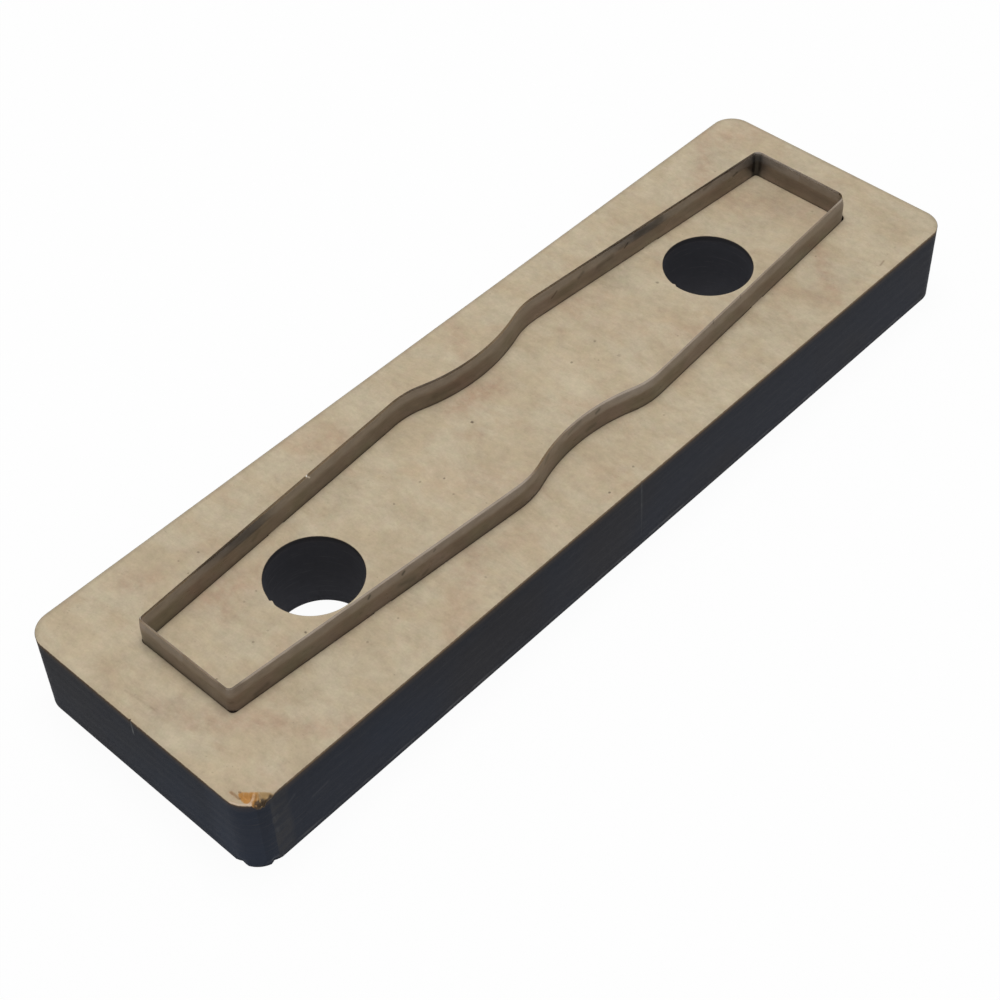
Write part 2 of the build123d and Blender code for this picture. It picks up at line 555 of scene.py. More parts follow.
def boardOutline():
    # stations round the board from its far left corner, and the span of them that the torn corner takes
    radius = board["cornerRadius"]
    halfLength = boardHigh.x - radius
    halfWidth = boardHigh.y - radius
    fine = board["fineStep"]
    reach = tornCorner["reach"]
    shortRun = 2 * halfWidth
    longRun = 2 * halfLength
    span = board["grooveSpan"]
    startY = halfWidth - beamStarts["shortSide"]["at"]
    startX = halfLength + beamStarts["longSide"]["at"]
    sides = (
        ((-1, 1), (0, -1), shortRun, ((startY - span, startY + span), (shortRun - reach, shortRun)), fine),
        ((-1, -1), (1, 0), longRun, ((0, reach), (startX - span, startX + span)), None),
        ((1, -1), (0, 1), shortRun, (), None),
        ((1, 1), (-1, 0), longRun, (), None),
    )
    stations = []
    for corner, heading, run, fineSpans, arcStep in sides:
        heading = Vector(heading)
        outward = Vector((heading.y, -heading.x))
        start = Vector((corner[0] * halfLength, corner[1] * halfWidth)) + radius * outward
        for distance in spacedRun(run, board["wallStep"], fineSpans, fine):
            stations.append((start + distance * heading, outward))
        middle = start + run * heading - radius * outward
        step = arcStep or radius * math.radians(board["cornerTurn"])
        stations += arcStations(middle, radius, turnOf(outward), 90, step)[1:-1]
    torn = [spot for spot, (point, _) in enumerate(stations)
            if point.x < cornerMiddle.x + reach + tiny and point.y < cornerMiddle.y + reach + tiny]
    return stations, torn


def spacedRun(run, step, fineSpans, fine):
    marks = [0.0]
    while marks[-1] < run:
        here = marks[-1]
        stride = fine if any(low - tiny <= here < high - tiny for low, high in fineSpans) else step
        ahead = [low for low, _ in fineSpans if here + tiny < low < here + stride]
        marks.append(min([here + stride, run] + ahead))
    if len(marks) > 2 and run - marks[-2] < fine / 2:
        del marks[-2]
    return marks


def plyRecess(x, y, z):
    # how far a charred wall lies back from the true face: every other ply burned deeper
    ply = int(z / boardHigh.z * board["plies"])
    deep = board["plyRecess"] * (ply % 2) * (0.8 + 0.5 * jitter(x, y, ply * 7.3, 6.0))
    rough = board["roughness"] * (0.5 + 0.5 * jitter(x, y, z * 3.0, 1.1))
    return max(deep + rough, 0.0)


def beamAt(side, z):
    # where the beam's start line stands along its side at this height
    return side["at"] - side["lean"] * (boardHigh.z - z)


def beamEnds(side):
    return [(beamAt(side, z), z) for z in (boardHigh.z, side["foot"])]


def beamGroove(x, y, z):
    # the groove left where the beam started a side
    longSide, shortSide = beamStarts["longSide"], beamStarts["shortSide"]
    if y < boardLow.y + board["sideReach"] and z > longSide["foot"]:
        return longSide["depth"] * smooth(abs(x - beamAt(longSide, z)), longSide["width"] / 2, 0.0)
    if x < boardLow.x + board["sideReach"] and z > shortSide["foot"]:
        deep = shortSide["depth"] * smooth(z, shortSide["foot"], boardHigh.z)
        return deep * smooth(abs(y - beamAt(shortSide, z)), shortSide["width"] / 2, 0.0)
    return 0.0


def footChip(x, y, z):
    spot = Vector((x, y)) - cornerMiddle
    if z > footChips["height"] or spot.x > 1 or spot.y > 1:
        return 0.0
    turn = turnOf(spot) % 360
    for start, middle, end in footChips["bearings"]:
        if start < turn < end:
            share = (turn - start) / (middle - start) if turn < middle else (end - turn) / (end - middle)
            return footChips["bite"] * share * smooth(z, footChips["height"], footChips["height"] * 0.6)
    return 0.0


def wallLevels():
    # heights of the wall's rows, closer together at each glue line
    ply = boardHigh.z / board["plies"]
    levels = [(count + share) * ply for count in range(board["plies"]) for share in board["plyRows"]]
    levels[0] = board["arris"]
    levels[-1] = boardHigh.z - board["arris"]
    return levels


def outerWall(draft, stations, torn):
    # the board's sides and the rims of both faces; returns the top and bottom outlines of the flat faces
    levels = wallLevels()
    top = boardHigh.z
    free = board["stretchedTop"]
    rows = [[] for _ in levels]
    for point, outward in stations:
        crown = top - board["arris"] - cornerDamage(point.x, point.y)[0]
        for row, level in zip(rows, levels):
            z = level
            if level > top - free:
                z = top - free + (level - top + free) * (crown - top + free) / (free - board["arris"])
            back = 0.0
            if row is not rows[-1] and row is not rows[0]:
                back = plyRecess(point.x, point.y, z)
            back += beamGroove(point.x, point.y, z) + footChip(point.x, point.y, z)
            x, y = point - back * outward
            row.append(draft.point(x, y, z, scorch=1.0))
    draft.bands(rows, finish=1)

    def facePoint(station, inset, scorch=0.0):
        point, outward = station
        x, y = point - (inset + beamGroove(point.x, point.y, top)) * outward
        depth, bare, tone = cornerDamage(x, y)
        return draft.point(x, y, top - depth, scorch=scorch, torn=bare, tone=tone)

    lip, rim = [[facePoint(station, *width) for station in stations] for width in rims]
    draft.bands((rows[-1], lip, rim))

    # over the torn corner the rim carries on inwards as a fine grid
    patch = [[rim[spot] for spot in torn]]
    inset = rims[1][0]
    while inset < tornCorner["depth"] - tiny:
        inset += board["fineStep"]
        patch.append([facePoint(stations[spot], inset) for spot in torn])
    draft.bands(patch, closed=False)
    before = [row[0] for row in patch[1:]]
    after = [row[-1] for row in patch[1:]][::-1]
    outline = rim[:torn[0] + 1] + before + patch[-1][1:-1] + after + rim[torn[-1]:]

    soles = []
    for inset, scorch in rims:
        sole = []
        for point, outward in stations:
            x, y = point - (inset + footChip(point.x, point.y, 0.0)) * outward
            sole.append(draft.point(x, y, 0.0, scorch=scorch))
        soles.append(sole)
    draft.bands((rows[0], *soles))
    return outline, soles[1]


def holeWall(draft, centreX, pip):
    # one finger hole; returns its rims on both faces
    levels = wallLevels()
    top = boardHigh.z
    turns = [360 * spot / board["holeStations"] for spot in range(board["holeStations"])]

    def ring(grow, z, scorch, recess=False):
        row = []
        for turn in turns:
            bite = follow(pip, turn) * smooth(z, top - board["pipFrom"], top - board["pipTo"])
            radius = board["holeRadius"] + grow + bite
            x, y = radius * bearing(turn)
            if recess:
                x, y = (radius + plyRecess(x + centreX, y, z)) * bearing(turn)
            burned = min(scorch + board["pipBurn"] * abs(bite), 1.0) if scorch else 0.0
            row.append(draft.point(centreX + x, y, z, scorch=burned))
        return row

    rows = [ring(0.0, level, 1.0, 0 < spot < len(levels) - 1) for spot, level in enumerate(levels)]
    draft.bands(rows[::-1], finish=1)
    edges = []
    for row, z in ((rows[-1], top), (rows[0], 0.0)):
        lip, outer = ring(rims[0][0], z, board["rimScorch"]), ring(rims[1][0], z, 0.0)
        draft.bands((outer, lip, row))
        edges.append(outer)
    return edges


def kerfSlots():
    # the four slots between the bridges, each as its outer stations and its inner ones
    outer = loopStations(kerf=True)
    inner = loopStations()
    halfBridge = cutLine["bridgeLength"] / 2 * math.cos(wallSlope)
    innerX = bridgeX - halfBridge
    outerX = bridgeX + halfBridge

    def where(stations, x, sideY):
        return next(spot for spot, (p, _) in enumerate(stations) if abs(p.x - x) < 1e-4 and p.y * sideY > 0)

    def span(stations, first, last):
        start = where(stations, *first)
        end = where(stations, *last)
        return stations[start:end + 1] if start < end else stations[start:] + stations[:end + 1]

    ends = (
        ((-innerX, 1), (innerX, 1)),
        ((outerX, 1), (outerX, -1)),
        ((innerX, -1), (-innerX, -1)),
        ((-outerX, -1), (-outerX, 1)),
    )
    return [(span(outer, *pair), span(inner, *pair)) for pair in ends]


def slotRing(draft, slot, grow, z, scorch):
    outer, inner = slot
    reach = halfRule + board["kerfClearance"] + grow
    row = []
    for stations, offset in ((outer, reach), (inner[::-1], -reach)):
        for spot, station in enumerate(stations):
            x, y = shifted(station, offset)
            if spot in (0, len(stations) - 1):
                beyond = station[0] - stations[1 if spot == 0 else -2][0]
                x, y = Vector((x, y)) + grow * beyond.normalized()
            row.append(draft.point(x, y, z, scorch=scorch))
    return row


def buildBoard():
    draft = Draft("die_board_plywood")
    top = boardHigh.z
    topOutline, footOutline = outerWall(draft, *boardOutline())
    topGaps = []
    footGaps = []
    for side, pip in ((-1, "nearHole"), (1, "farHole")):
        upper, lower = holeWall(draft, board["holeShift"] + side * holeX, beamStarts[pip])
        topGaps.append(upper)
        footGaps.append(lower)
    mouth, halo = board["mouthWidth"], board["kerfScorch"]
    # from the scorched edge on top down to the one underneath: growth, height, scorch
    kerfRings = ((mouth + halo, top, 0.0), (mouth, top, board["mouthScorch"]),
                 (0.0, top - board["mouthDepth"], 1.0), (0.0, 0.0, 1.0), (halo, 0.0, 0.0))
    for slot in kerfSlots():
        rings = [slotRing(draft, slot, *ring) for ring in kerfRings]
        draft.bands(rings[:3])
        draft.bands(rings[2:4], finish=1)
        draft.bands(rings[3:])
        topGaps.append(rings[0])
        footGaps.append(rings[-1])
    draft.flat(topOutline, topGaps, top)
    draft.flat(footOutline, footGaps, 0.0)
    return draft


# Cutting rule

rule = {
    "lean": ((21.4, 0.0), (21.9, 11.5), (23.25, 12.0), (23.38, 21.5), (23.8, 21.5)),
    "leanRows": (21.4, 21.55, 21.7, 21.9, 22.6, 23.25, 23.3, 23.38, 23.8),
    "notchTop": 18.15,
    "seamGap": 0.08,
    "innerGap": 1.4,
    "seamRound": 1.35,
    "seamSteps": 4,
    "nickDepth": 0.35,
    "freshFrom": 23.3,
    "sharpAngle": 25,
    "faceRows": (19.2, 20.4),
}


def ruleProfile(drop):
    # half of the strip's section from its foot up to the edge, as reach and height; drop lowers the edge
    section = [(halfRule, z) for z in (0.0, rule["notchTop"], *rule["faceRows"])]
    reach = halfRule
    below = rule["leanRows"][0]
    for z in rule["leanRows"]:
        z = min(z, ruleHigh.z - drop)
        reach -= math.tan(math.radians(follow(rule["lean"], (z + below) / 2))) * (z - below)
        below = z
        section.append((reach, z))
    return section


def edgeDrop(point):
    # the nick in the far long wall
    if point.y < 0:
        return 0.0
    offset = abs(point.x + cutLine["nickFromMiddle"]) / (cutLine["nickWidth"] / 2)
    return rule["nickDepth"] * max(1 - offset, 0.0)


def seamRows(draft, section, wallTurn, wallRun):
    # the section from the seam at the left corner to one wall's start; the corner is worn round outside
    mitre = Vector((-1, 1 / math.cos(wallSlope) - math.tan(wallSlope)))
    corner = Vector((-halfLoop, endHalf))
    middle = corner + (halfRule - rule["seamRound"]) * mitre
    seamTurn = turnOf(mitre)
    gap = rule["seamGap"] / 2
    inner = []
    for reach, z in section:
        x, y = corner - reach * mitre + rule["innerGap"] * gap * wallRun
        inner.append(draft.point(x, y, z))
    rows = []
    for step in range(rule["seamSteps"] + 1):
        share = step / rule["seamSteps"]
        turn = seamTurn + (wallTurn - seamTurn) * share
        side = bearing(turn + math.copysign(90, wallTurn - seamTurn))
        outer = []
        for reach, z in section[::-1]:
            radius = rule["seamRound"] - halfRule + reach
            x, y = middle + radius * bearing(turn) + gap * (1 - share) * side
            outer.append(draft.point(x, y, z))
        rows.append(inner + outer)
    return rows


def buildRule():
    draft = Draft("cutting_rule_strip")
    stations = loopStations()[1:]
    halfNotch = (cutLine["bridgeLength"] / 2 + cutLine["notchClearance"]) * math.cos(wallSlope)
    farRun = Vector((math.cos(wallSlope), math.sin(wallSlope)))
    rows = seamRows(draft, ruleProfile(0.0), 180 - touchBearing, farRun)
    middles = [-halfLoop] * len(rows)
    for station in stations:
        drop = edgeDrop(station[0])
        section = ruleProfile(drop)
        whole = [(-reach, z) for reach, z in section] + section[::-1]
        rows.append([draft.point(*shifted(station, reach), z, torn=float(drop > 0 and z > rule["freshFrom"]))
                     for reach, z in whole])
        middles.append(station[0].x)
    rows += seamRows(draft, ruleProfile(0.0), 180, Vector((0, -1)))[::-1]
    middles += [-halfLoop] * (len(rows) - len(middles))

    def overBridge(spot):
        return abs(abs(middles[spot] + middles[spot + 1]) / 2 - bridgeX) < halfNotch

    for spot, (here, after) in enumerate(zip(rows, rows[1:])):
        bridged = overBridge(spot)
        skip = 1 if bridged else 0
        draft.band(here[skip:len(here) - skip], after[skip:len(here) - skip])
        if spot and bridged != overBridge(spot - 1):
            draft.face((here[0], here[1], here[-2], here[-1]))
    for end in (rows[0], rows[-1]):
        draft.face(tuple(end))
    return draft


# Finishes

veneer = {
    "pale": srgb(189, 175, 149),
    "middle": srgb(183, 166, 138),
    "warm": srgb(178, 155, 128),
    "pink": srgb(172, 142, 118),
    "scorch": srgb(70, 55, 44),
    "speck": srgb(82, 68, 54),
    "scratch": srgb(104, 76, 60),
    "roughness": 0.62,
    "bump": (0.25, 0.00004),
    "edgeScorch": 0.05,
    "farEdgeScorch": 0.13,
}

# broad patches of the veneer that are paler (above 0) or darker: place, reach, amount; the darker ones close
# to the rule's walls are painted shade, the rest the veneer's own tone
toneAndShadePatches = (
    ((84, 5), 15, -0.12), ((69, 1), 10, -0.06), ((84, 20), 10, -0.08), ((-40, 12), 8, -0.07),
    ((39, 12), 8, -0.1), ((-94, -3), 7, -0.07), ((45, -22), 12, -0.06), ((68, -22), 13, -0.07),
    ((91, -21), 11, -0.07), ((55, -24), 10, -0.04), ((-92, 19), 9, 0.06), ((-92, -20), 9, 0.06),
    ((-82, 0), 9, 0.07), ((13, 0), 11, 0.07), ((-7, 19), 8, 0.05), ((-25, 0), 10, 0.06),
)

# faint figure in the veneer: start, end, width, softness, strength, in millimetres on the face
figure = (
    ((-93, 0), (-90, -9), 4.0, 2.0, 0.5), ((-89, -10), (-82, -20), 4.0, 2.2, 0.8),
    ((-82, -20), (-74.5, -28), 3.6, 2.0, 0.7), ((-72, 10), (-64, 8), 6.0, 3.5, 0.8),
    ((-79, 24), (-76, 21), 4.5, 2.6, 0.7), ((-68, 21), (-64, 18), 3.0, 1.8, 0.5),
    ((-35, 25), (-29, 21), 6.0, 3.4, 0.6), ((-10, 11), (0, 8.5), 4.5, 2.6, 1.0),
    ((-14.5, 5.2), (-10.8, 1.3), 1.8, 1.2, 0.45), ((-50, -28), (-33, -17.5), 4.0, 2.4, 0.6),
    ((-33, -17.5), (-20, -24), 4.0, 2.6, 0.4), ((-5, -20), (-2, -23), 3.2, 1.8, 0.5),
    ((-24, -1), (-18, -9), 6.0, 4.0, 0.4), ((8, 27), (3, 18.5), 3.0, 1.6, 0.6),
    ((89, 28), (75, 17.5), 3.6, 2.0, 0.7), ((90, 24), (96, 20), 6.0, 3.6, 0.6),
    ((27, 5), (31, -3), 5.0, 3.2, 0.4), ((27, 13), (35, 10), 5.0, 3.0, 0.5),
    ((75, 10), (82, -6), 7.0, 4.0, 0.55), ((73, -14), (65, -24), 3.2, 2.0, 0.8),
    ((58, -15), (63, -26), 3.2, 2.0, 0.6), ((6, -6), (11, -10), 3.5, 2.0, 0.5),
    ((34, -8.5), (39, -11), 3.0, 1.8, 0.6), ((-93.8, -26), (-88, -28), 2.5, 1.5, 0.3),
    ((-0.5, -27.6), (-3, -27.4), 1.0, 0.8, 0.6), ((-6.5, -27.5), (-9, -27.2), 1.0, 0.8, 0.5),
    ((-73, 4), (-67, 9.5), 2.4, 1.4, 0.7), ((-63, 8.5), (-60, 9.5), 1.2, 0.8, 0.7),
)

# dark specks: place, radius and strength
specks = (
    (-9.55, 5.2, 0.34, 1.0), (-65.75, -8.3, 0.26, 0.95), (-6.1, -26.1, 0.28, 0.8),
    (-34.3, 1.45, 0.24, 0.55), (-27.2, 1.75, 0.3, 0.45), (-23.6, -0.95, 0.26, 0.7),
    (-25.3, -5.0, 0.24, 0.5), (-65.9, 19.5, 0.26, 0.6), (-69.7, 20.6, 0.2, 0.5), (-70.4, 17.1, 0.22, 0.6),
    (-82.8, -4.4, 0.22, 0.8), (-73.2, -3.1, 0.26, 0.45), (-69.9, -3.1, 0.22, 0.3),
    (-68.2, 4.7, 0.22, 0.4), (-65.1, 5.0, 0.22, 0.45), (-52.9, -18.0, 0.24, 0.45),
    (-60.1, -17.8, 0.26, 0.4), (15.2, 1.9, 0.3, 0.6), (22.7, 2.5, 0.34, 0.5), (22.8, -3.7, 0.42, 0.35),
    (44.2, 4.4, 0.36, 0.6), (1.8, -25.1, 0.28, 0.65), (15.9, -20.8, 0.22, 0.45), (82.8, -5.6, 0.3, 0.4),
    (-36.0, -23.0, 0.24, 0.35), (-94.2, 3.4, 0.2, 0.3), (19.1, -1.6, 0.22, 0.35),
    (71.75, -14.7, 0.24, 0.5), (7.8, 25.3, 0.22, 0.35), (34.7, -8.75, 0.24, 0.35),
    (80.0, 18.1, 0.24, 0.35), (-18.6, -24.3, 0.3, 0.25),
)


def fromHole(shade, x, y):
    # distance from the middle of the nearer finger hole
    return shade.distance(shade.join(abs(x - board["holeShift"]), y), (holeX, 0, 0))


def veneerColour(shade, place):
    # rotary cut birch: soft cloudy figure, faint cross grain, a few pin knots
    x, y, _ = shade.split(place)
    level = shade.join(x, y)
    drift = shade.cloud(place, 17.0) - 0.5
    drift2 = shade.cloud(place, 11.0, shift=(71, 13, 5)) - 0.5
    flat = shade.join(x + 9.0 * drift, y + 7.0 * drift2)
    wander = shade.join(x + 5.0 * drift, y + 5.0 * drift2)
    broad = shade.cloud(flat, 10.0, 4.0, 0.6, (0.8, 1.4, 1)).rise(0.36, 0.64)
    blush = shade.cloud(flat, 6.0, 4.0, 0.62, (0.8, 1.5, 1), (31, 47, 0)).rise(0.5, 0.75)
    strokes = strongest([shade.stroke(wander, *line) * strength for *line, strength in figure])
    broken = shade.cloud(place, 1.8, 3.0, 0.6, (1, 1.4, 1)).rise(0.3, 0.65)
    colour = shade.mix(broad, veneer["middle"], veneer["pale"])
    figured = strokes * (0.35 + 0.65 * broken) * 0.75
    colour = shade.coats(colour, veneer, (blush * 0.5, "warm"), (figured, "pink"))

    mottle = shade.cloud(place, 1.5, 3.0, 0.62, (0.8, 1.3, 1), (0, 0, 19)) - 0.5
    grain = shade.cloud(flat, 0.5, 3.0, 0.6, (1.0, 5.0, 1)) - 0.5
    fleck = shade.cloud(place, 0.42, 2.0, 0.6) - 0.5
    rolling = shade.cloud(place, 4.5, 3.0, 0.6, shift=(8, 3, 44)) - 0.5
    tone = 1 + mottle * 0.34 + rolling * 0.32 + grain * 0.16 + fleck * 0.2
    # painted shade beside the rule's walls, with the veneer's own paler and darker patches
    for spot, reach, amount in toneAndShadePatches:
        tone = tone + shade.distance(level, (*spot, 0)).rise(reach, 0) * amount
    green = tone + (shade.cloud(place, 2.0, 4.0, 0.65, shift=(61, 9, 2)) - 0.5) * 0.13
    colour = shade.mix(1.0, colour, shade.join(tone, green, tone), "MULTIPLY")

    ticks = shade.cloud(flat, 0.36, 1.0, 0.5, (1, 2.6, 1)).rise(0.68, 0.8)
    flecked = shade.cloud(place, 9.0, shift=(5, 77, 0)).rise(0.44, 0.6)
    spots = []
    for spotX, spotY, radius, strength in specks:
        away = shade.distance(level, (spotX, spotY, 0)) + fleck * 0.3
        spots.append(away.rise(radius * 1.3, radius * 0.4) * strength)
    bent = shade.join(x + 0.5 * mottle, y)
    scratch = shade.stroke(bent, (-94.7, 5.4), (-94.1, -1.4), 0.3, 0.25) * (0.3 + 0.7 * broken)
    dash = shade.stroke(level, (78.1, -26.25), (79.7, -26.0), 0.3, 0.2)

    # the beam browned a thin strip along the board's edges; the holes' rims are paler on their near side
    radius = board["cornerRadius"]
    straight = (boardHigh.x - radius, boardHigh.y - radius, 0)
    past = shade.vector("SUBTRACT", shade.join(abs(x), abs(y)), straight)
    inset = radius - shade.vector("LENGTH", shade.vector("MAXIMUM", past, (0, 0, 0)), out="Value")
    farEdge = (y > boardHigh.y - 3).atLeast(x > boardHigh.x - 3)
    nearRim = fromHole(shade, x, y).rise(10.0, 9.5) * y.rise(3.0, -3.0)
    return shade.coats(
        colour, veneer,
        (ticks * flecked * 0.3, "speck"),
        (strongest(spots) * 0.85, "speck"),
        ((scratch * 0.3).atLeast(dash * 0.5), "scratch"),
        (inset.rise(1.0, 0.3) * (veneer["edgeScorch"] + farEdge * veneer["farEdgeScorch"]), "scorch"),
        (nearRim * 0.35, "pale"))


charred = {
    "bluish": srgb(35, 40, 50),
    "neutral": srgb(40, 40, 43),
    "streak": srgb(54, 54, 56),
    "rim": srgb(100, 82, 62),
    "edge": srgb(150, 128, 102),
    "foot": srgb(26, 25, 26),
    "start": srgb(122, 124, 124),
    "scuff": srgb(92, 92, 94),
    "worn": srgb(51, 51, 53),
    "footPaintedLight": 0.45,
    "holePaintedLight": 2.5,
    "longPaintedLight": 0.28,
    "cornerPale": 0.5,
    "roughness": 0.72,
    "bump": (0.6, 0.00008),
    "rimWidth": 2.2,
    "holeReach": 9.8,
    "sideReach": 0.6,
}

# pale scuffs on the long side near the torn corner: start, end, width as distance along it and height
scuffs = (
    ((-92.9, 16.0), (-92.85, 13.0), 0.5, 0.5, 0.35), ((-92.9, 11.9), (-92.85, 10.8), 0.6, 0.45, 0.75),
    ((-92.3, 12.0), (-92.2, 11.2), 0.45, 0.4, 0.5), ((-92.75, 8.7), (-92.6, 7.6), 0.5, 0.45, 0.5),
    ((-90.6, 12.0), (-88.2, 13.4), 0.4, 0.4, 0.3), ((-84.6, 9.0), (-81.0, 9.4), 0.4, 0.4, 0.25),
)


def charredColour(shade, place):
    # laser-burned edge: near black, a little blue, with the plies just showing
    x, y, z = shade.split(place)
    top = boardHigh.z
    inHole = fromHole(shade, x, y) < charred["holeReach"]
    onLong = y < boardLow.y + charred["sideReach"]
    onShort = x < boardLow.x + charred["sideReach"]
    fromCorner = shade.distance(shade.join(x, y), (*cornerMiddle, 0))
    atCorner = fromCorner.rise(8.5, 5.4) * (1 - onLong)
    broad = shade.cloud(place, 30.0).rise(0.38, 0.62)
    blue = (broad * 0.4 + fromCorner.rise(50, 8) * 0.6).clamped() * (1 - inHole * 0.75)
    ply = z * (board["plies"] / top)
    glueLine = abs(ply.math("FRACT", ply) - 0.5).rise(0.38, 0.5)
    broken = shade.cloud(place, 3.2, 3.0, 0.6, (1.6, 1.6, 0.5)).rise(0.45, 0.68)
    streaks = shade.cloud(place, 0.7, 3.0, 0.65, (5.0, 5.0, 0.55)).rise(0.56, 0.8)
    dusty = shade.cloud(place, 9.0, shift=(9, 41, 3)).rise(0.45, 0.65)
    nearFace = z.rise(top - charred["rimWidth"], top) * 0.3 + z.rise(top - 0.75, top) * 0.7
    footLine = z.rise(0.5, 0.9) * z.rise(1.5, 1.0) * onLong * (0.25 + 0.75 * broken)

    longSide, shortSide = beamStarts["longSide"], beamStarts["shortSide"]
    alongLong = shade.join(x, z)
    longLine = shade.stroke(alongLong, *beamEnds(longSide), 0.45, 0.2) * onLong
    shortLine = shade.stroke(shade.join(y, z), *beamEnds(shortSide), 0.3, 0.2) * onShort
    fadeLong = 0.02 + 0.15 * z.rise(4, 13) * (0.5 + 0.5 * broken)
    fadeShort = z.rise(shortSide["foot"], 14.8) * z.rise(17.9, 17.2)
    marks = strongest([shade.stroke(alongLong, *line) * strength for *line, strength in scuffs])
    worn = x.rise(-93.4, -93.1) * x.rise(-88.8, -90.2) * onLong
    colour = shade.coats(
        shade.mix(blue, charred["neutral"], charred["bluish"]), charred,
        (glueLine * broken * 0.5, "streak"),
        (streaks * (0.35 + 0.65 * dusty) * 0.7, "streak"),
        (nearFace * (1 - 0.9 * inHole) * (1 - 0.55 * atCorner), "rim"),
        (z.rise(top - 0.55, top - 0.05) * onLong * 0.35, "edge"),
        (z.rise(0.45, 0.05) * 0.8, "foot"),
        (footLine * 0.45, "scuff"),
        ((longLine * fadeLong).atLeast(shortLine * fadeShort * 0.8), "start"),
        (marks * onLong * 0.55, "scuff"),
        (worn * (0.4 + 0.5 * broken), "worn"))
    # painted light: the sides are lifted towards the foot, inside the finger holes and over the long side;
    # they are also paler by the torn corner, and darker over the top of the hole walls
    paler = 1 + charred["footPaintedLight"] * (1 - z / top) + inHole * charred["holePaintedLight"]
    paler = paler + onLong * charred["longPaintedLight"] + atCorner * charred["cornerPale"]
    return shade.vector("SCALE", colour, scale=paler * (1 - z.rise(top - 1.6, top - 0.3) * inHole * 0.5))


tornWood = {
    "orange": srgb(184, 133, 70),
    "ochre": srgb(170, 140, 96),
    "pale": srgb(208, 190, 170),
    "dark": srgb(50, 38, 26),
}


def tornColour(shade, place):
    # bare inner ply: orange at the left, ochre at the right; dark where the laser burned its crown, with
    # painted shade in the cracks where it broke away
    x, y, _ = shade.split(place)
    along, across = fibreWays(x, y)
    strands = shade.cloud(shade.join(across, along * 0.16), 0.3, 3.0, 0.6)
    share = (x - y - (cornerMiddle.x - cornerMiddle.y)).rise(1.7, 3.0)
    tone = shade.mark("tone")
    return shade.coats(
        shade.mix(share, tornWood["orange"], tornWood["ochre"]), tornWood,
        (strands.rise(0.5, 0.75) * 0.3, "pale"),
        (strands.rise(0.46, 0.3) * 0.25, "dark"),
        ((0 - tone).clamped() * 0.9, "pale"),
        (tone.clamped() * 0.95, "dark"))


def principled(shade, colour, roughness, height, bump, values):
    # bump is its strength and its depth in metres
    normal = shade.node("ShaderNodeBump", None, {"Strength": bump[0], "Distance": bump[1], "Height": height})
    values.update({"Base Color": colour, "Roughness": roughness, "Normal": normal})
    return shade.finish(shade.node("ShaderNodeBsdfPrincipled", None, values))


def faceMaterial():
    shade = Shade(bpy.data.materials.new("birchVeneer"))
    place = shade.place()
    ragged = shade.cloud(place, 0.6, 3.0).rise(0.2, 0.7)
    scorch = (shade.mark("scorch") * (0.5 + 0.75 * ragged)).clamped()
    colour = shade.mix(scorch, veneerColour(shade, place), veneer["scorch"])
    colour = shade.mix(shade.mark("torn"), colour, tornColour(shade, place))
    grain = shade.cloud(place, 0.3, 3.0, 0.6, (1, 8, 1))
    rough = veneer["roughness"] + 0.12 * (grain - 0.5)
    return principled(shade, colour, rough, grain, veneer["bump"], {"Specular IOR Level": 0.3})


def charMaterial():
    shade = Shade(bpy.data.materials.new("laserChar"))
    place = shade.place()
    colour = charredColour(shade, place)
    fibres = shade.cloud(place, 0.35, 4.0, 0.65, (3.5, 3.5, 0.6))
    rough = charred["roughness"] + 0.25 * (fibres - 0.5)
    return principled(shade, colour, rough, fibres, charred["bump"], {"Specular IOR Level": 0.08})


steel = {
    "body": (0.213, 0.185, 0.166, 1),
    "ground": (0.3, 0.268, 0.238, 1),
    "paintedEdgeHighlight": (1.26, 1.22, 1.17, 1),
    "olive": (0.195, 0.183, 0.152, 1),
    "mauve": (0.24, 0.2, 0.19, 1),
    "dark": (0.07, 0.065, 0.05, 1),
    "footDark": (0.03, 0.024, 0.02, 1),
    "stain": (0.045, 0.045, 0.038, 1),
    "farBendShade": (0.1, 0.102, 0.105, 1),
    "bendFilletShade": (0.045, 0.046, 0.046, 1),
    "fresh": (0.85, 0.83, 0.8, 1),
    "pinkish": (0.42, 0.35, 0.32, 1),
    "groundFrom": 20.9,
    "groundTo": 22.3,
    "edgeRows": (23.2, 23.4),
    "farBendSpot": (halfLoop - 0.7, endHalf - 0.5, 20.6),
    "seamSpot": (ruleLow.x, endHalf - 0.4, 22.6),
    "roughness": 0.32,
    "bump": (0.3, 0.00003),
}

